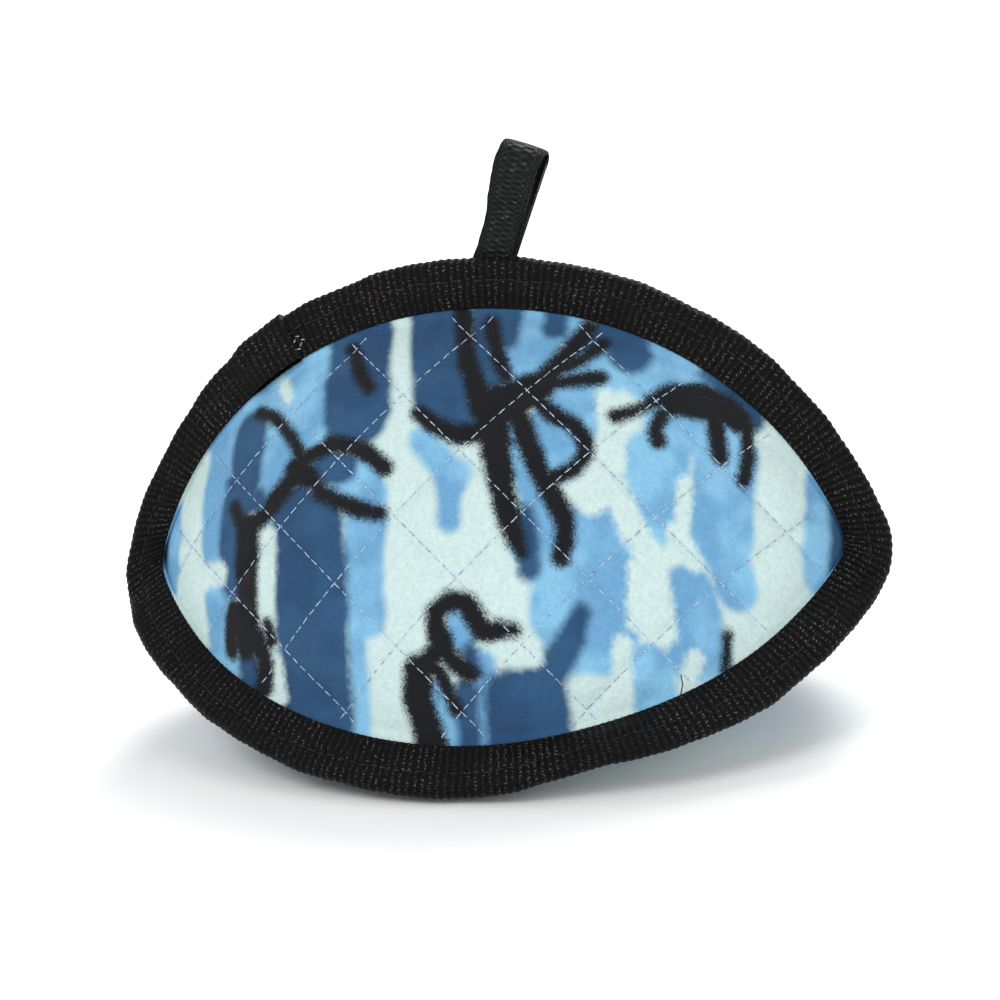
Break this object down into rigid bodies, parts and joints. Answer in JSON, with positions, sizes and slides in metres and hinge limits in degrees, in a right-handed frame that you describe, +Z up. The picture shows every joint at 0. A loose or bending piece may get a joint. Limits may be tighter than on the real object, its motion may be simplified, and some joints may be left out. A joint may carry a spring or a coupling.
{
  "type": "stuffed throw toy",
  "caption": "Three-sided stuffed throw toy of quilted fleece, with webbing-bound seams and a small webbing loop at the top seam.",
  "frame": {"origin": "centre of the flattened patch on the base panel, on the surface that it rests on", "axes": "+X along the toy from tip to tip, +Z up to the seam that carries the loop, -Y out of the front panel's side"},
  "size_m": [0.2026, 0.1322, 0.1484],
  "materials": {
    "fill": "loose white polyester fibre",
    "fleece": "soft brushed fleece printed in pale mint, light blue, steel blue and black",
    "wadding": "needled white wadding",
    "backing": "thin plain-woven cloth",
    "binding_webbing": "ribbed black webbing",
    "quilting_thread": "pale blue-grey sewing thread",
    "black_thread": "black sewing thread",
    "loop_webbing": "narrow closely woven black webbing"
  },
  "bodies": {
    "toy": {"fibre_fill": "fill", "front_fleece": "fleece", "back_fleece": "fleece", "base_fleece": "fleece", "front_wadding": "wadding", "back_wadding": "wadding", "base_wadding": "wadding", "front_backing": "backing", "back_backing": "backing", "base_backing": "backing", "perimeter_binding": "binding_webbing", "rear_binding": "binding_webbing", "front_quilting_thread": "quilting_thread", "back_quilting_thread": "quilting_thread", "base_quilting_thread": "quilting_thread", "perimeter_binding_thread": "black_thread", "rear_binding_thread": "black_thread", "handle_tails": "loop_webbing", "handle_bar_tack": "black_thread"},
    "loop": {"loop_handle": "loop_webbing"}
  },
  "joints": [
    {"name": "loop_flex", "type": "hinge", "parent": "toy", "child": "loop", "pos_m": [0.0052, 0.00435, 0.12172], "axis": [1, 0, 0], "range_deg": [-100, 90], "stiffness_Nm_per_rad": 0.003}
  ]
}
